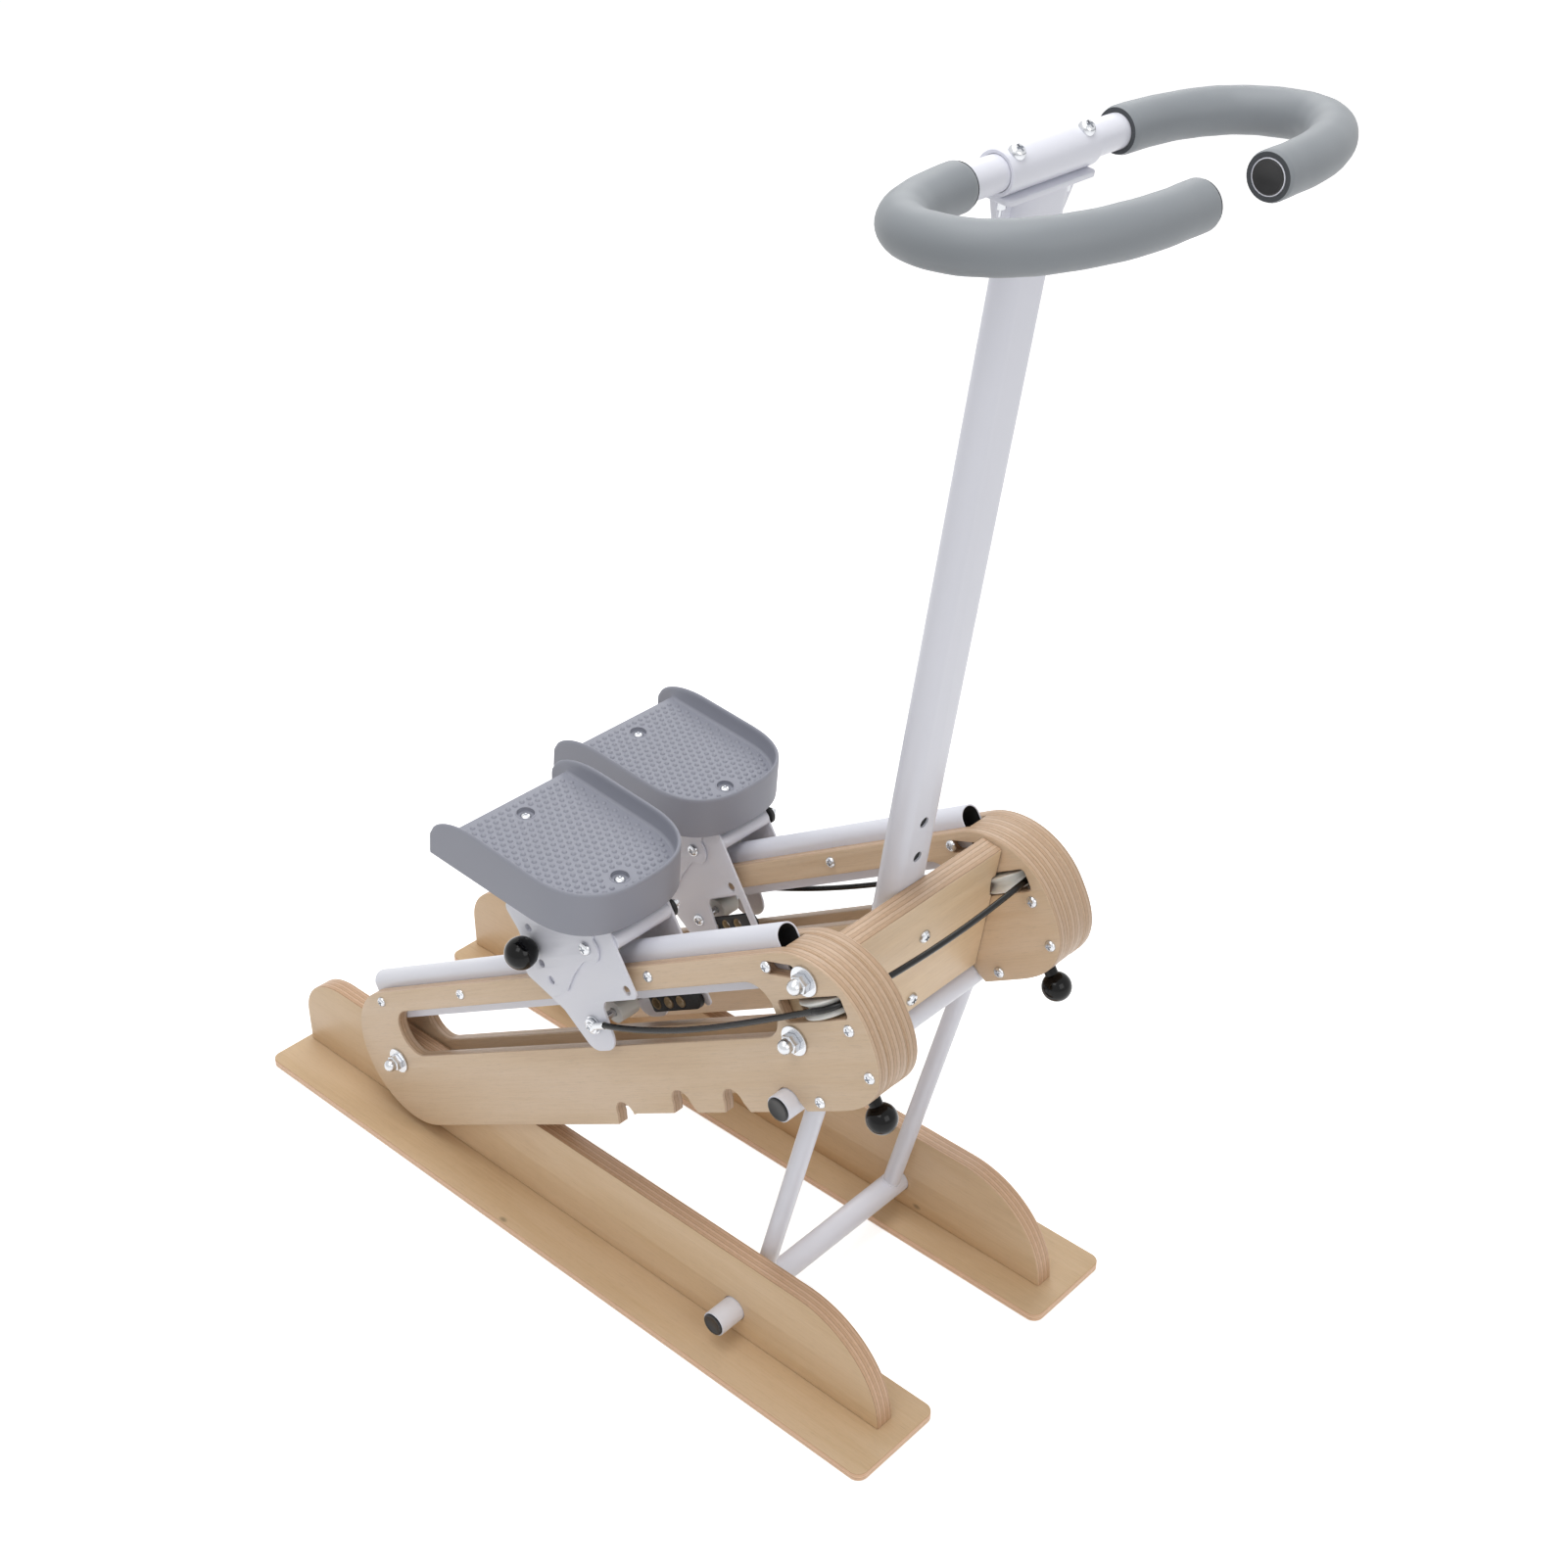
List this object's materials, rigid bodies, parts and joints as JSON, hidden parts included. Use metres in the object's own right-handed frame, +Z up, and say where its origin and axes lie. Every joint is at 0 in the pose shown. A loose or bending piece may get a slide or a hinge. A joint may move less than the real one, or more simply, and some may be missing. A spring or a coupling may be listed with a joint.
{
  "type": "stepper machine",
  "caption": "Foldable home stepper: plywood base and sloping tracks, foot pedals on rail carriages linked by a cable, leaning column with an oval foam-covered handlebar.",
  "frame": {"origin": "on the floor, midway between the two base boards and under the middle of the overall length", "axes": "+Y forward, the way the user faces; +X to the user's right; +Z up"},
  "size_m": [0.4232, 1.0216, 1.1695],
  "materials": {
    "board_ply": "birch plywood, clear satin lacquer",
    "fin_ply": "birch plywood, clear satin lacquer, bare layered edges",
    "panel_ply": "birch plywood, clear satin lacquer",
    "block_ply": "stacked birch plywood, layered edges, clear satin lacquer",
    "white_coat": "white powder coat, light gloss",
    "steel": "zinc plated steel",
    "black_plastic": "glossy black ball knobs",
    "cap_plastic": "moulded black end caps",
    "foam": "closed-cell grey foam",
    "pedal_plastic": "grey moulded plastic with fine grain",
    "white_plastic": "white nylon",
    "rubber": "black moulded rubber",
    "cable": "black plastic coating over steel cable"
  },
  "bodies": {
    "base": {"base_board_right": "board_ply", "base_fin_right": "fin_ply", "rear_pivot_bolt_right": "steel", "base_board_left": "board_ply", "base_fin_left": "fin_ply", "rear_pivot_bolt_left": "steel"},
    "prop": {"prop_frame": "white_coat", "prop_cap_bottom_right": "cap_plastic", "prop_cap_top_right": "cap_plastic", "prop_cap_bottom_left": "cap_plastic", "prop_cap_top_left": "cap_plastic"},
    "climb_frame": {"outer_panel_right": "panel_ply", "inner_panel_right": "panel_ply", "nose_block_right": "block_ply", "rail_right": "white_coat", "outer_panel_left": "panel_ply", "inner_panel_left": "panel_ply", "nose_block_left": "block_ply", "rail_left": "white_coat", "cross_beam": "block_ply", "beam_rod_lower": "steel", "beam_rod_upper": "steel", "column": "white_coat", "column_bolt_upper": "steel", "column_bolt_lower": "steel", "handlebar_bracket": "white_coat", "cable_cross": "cable", "cable_run_right": "cable", "cable_run_left": "cable"},
    "handlebar": {"handlebar_tube": "white_coat", "foam_grip_right": "foam", "foam_grip_left": "foam", "bar_plug_right": "cap_plastic", "bar_plug_left": "cap_plastic"},
    "carriage_right": {"carriage_frame_right": "white_coat", "pivot_bolt_right": "steel", "cable_eye_bolt_right": "steel", "rubber_buffer_right": "rubber"},
    "pedal_right": {"pedal_bracket_right": "white_coat", "pedal_right": "pedal_plastic"},
    "tilt_pin_right": {"tilt_pin_right": "black_plastic"},
    "roller_front_right": {"roller_front_right": "white_plastic"},
    "roller_rear_right": {"roller_rear_right": "white_plastic"},
    "roller_lower_right": {"roller_lower_right": "white_plastic"},
    "pulley_right": {"pulley_right": "white_plastic"},
    "nose_knob_right": {"nose_knob_right": "black_plastic"},
    "carriage_left": {"carriage_frame_left": "white_coat", "pivot_bolt_left": "steel", "cable_eye_bolt_left": "steel", "rubber_buffer_left": "rubber"},
    "pedal_left": {"pedal_bracket_left": "white_coat", "pedal_left": "pedal_plastic"},
    "tilt_pin_left": {"tilt_pin_left": "black_plastic"},
    "roller_front_left": {"roller_front_left": "white_plastic"},
    "roller_rear_left": {"roller_rear_left": "white_plastic"},
    "roller_lower_left": {"roller_lower_left": "white_plastic"},
    "pulley_left": {"pulley_left": "white_plastic"},
    "nose_knob_left": {"nose_knob_left": "black_plastic"}
  },
  "joints": [
    {"name": "incline", "type": "hinge", "parent": "base", "child": "climb_frame", "pos_m": [0, -0.3192, 0.088], "axis": [1, 0, 0], "range_deg": [0, 40]},
    {"name": "prop_swing", "type": "hinge", "parent": "base", "child": "prop", "pos_m": [0, 0.1588, 0.039], "axis": [1, 0, 0], "range_deg": [-75, 0]},
    {"name": "handlebar_tilt", "type": "hinge", "parent": "climb_frame", "child": "handlebar", "pos_m": [0, 0.3407, 1.14406], "axis": [1, 0, 0], "range_deg": [-30, 30]},
    {"name": "carriage_slide_right", "type": "slide", "parent": "climb_frame", "child": "carriage_right", "axis": [0, 0.8607, 0.509], "range_m": [-0.29, 0.17], "deforming": ["cable_run_right"]},
    {"name": "pedal_tilt_right", "type": "hinge", "parent": "carriage_right", "child": "pedal_right", "pos_m": [0.122, 0.00936, 0.40662], "axis": [1, 0, 0], "range_deg": [-13, 13]},
    {"name": "tilt_pin_slide_right", "type": "slide", "parent": "pedal_right", "child": "tilt_pin_right", "axis": [1, 0, 0], "range_m": [-0.0031, 0]},
    {"name": "roller_front_spin_right", "type": "hinge", "parent": "carriage_right", "child": "roller_front_right", "pos_m": [0.122, 0.00936, 0.40662], "axis": [1, 0, 0], "continuous": true},
    {"name": "roller_rear_spin_right", "type": "hinge", "parent": "carriage_right", "child": "roller_rear_right", "pos_m": [0.122, -0.044, 0.37506], "axis": [1, 0, 0], "continuous": true},
    {"name": "roller_lower_spin_right", "type": "hinge", "parent": "carriage_right", "child": "roller_lower_right", "pos_m": [0.122, 0.0119, 0.31983], "axis": [1, 0, 0], "continuous": true},
    {"name": "pulley_spin_right", "type": "hinge", "parent": "climb_frame", "child": "pulley_right", "pos_m": [0.122, 0.27464, 0.46882], "axis": [0, -0.509, 0.8607], "continuous": true},
    {"name": "nose_knob_turn_right", "type": "hinge", "parent": "climb_frame", "child": "nose_knob_right", "pos_m": [0.122, 0.32639, 0.36757], "axis": [0, -0.509, 0.8607], "continuous": true},
    {"name": "carriage_slide_left", "type": "slide", "parent": "climb_frame", "child": "carriage_left", "axis": [0, 0.8607, 0.509], "range_m": [-0.17, 0.29], "deforming": ["cable_run_left"]},
    {"name": "pedal_tilt_left", "type": "hinge", "parent": "carriage_left", "child": "pedal_left", "pos_m": [-0.122, -0.09651, 0.34401], "axis": [1, 0, 0], "range_deg": [-13, 13]},
    {"name": "tilt_pin_slide_left", "type": "slide", "parent": "pedal_left", "child": "tilt_pin_left", "axis": [1, 0, 0], "range_m": [0, 0.0031]},
    {"name": "roller_front_spin_left", "type": "hinge", "parent": "carriage_left", "child": "roller_front_left", "pos_m": [-0.122, -0.09651, 0.34401], "axis": [1, 0, 0], "continuous": true},
    {"name": "roller_rear_spin_left", "type": "hinge", "parent": "carriage_left", "child": "roller_rear_left", "pos_m": [-0.122, -0.14987, 0.31245], "axis": [1, 0, 0], "continuous": true},
    {"name": "roller_lower_spin_left", "type": "hinge", "parent": "carriage_left", "child": "roller_lower_left", "pos_m": [-0.122, -0.09397, 0.25721], "axis": [1, 0, 0], "continuous": true},
    {"name": "pulley_spin_left", "type": "hinge", "parent": "climb_frame", "child": "pulley_left", "pos_m": [-0.122, 0.27464, 0.46882], "axis": [0, -0.509, 0.8607], "continuous": true},
    {"name": "nose_knob_turn_left", "type": "hinge", "parent": "climb_frame", "child": "nose_knob_left", "pos_m": [-0.122, 0.32639, 0.36757], "axis": [0, -0.509, 0.8607], "continuous": true}
  ],
  "couplings": [
    {"joint": "prop_swing", "follows": "incline", "ratio": -1.875},
    {"joint": "carriage_slide_left", "follows": "carriage_slide_right", "ratio": -1},
    {"joint": "pulley_spin_right", "follows": "carriage_slide_right", "rad_per_m": 35.714},
    {"joint": "pulley_spin_left", "follows": "carriage_slide_right", "rad_per_m": 35.714}
  ]
}
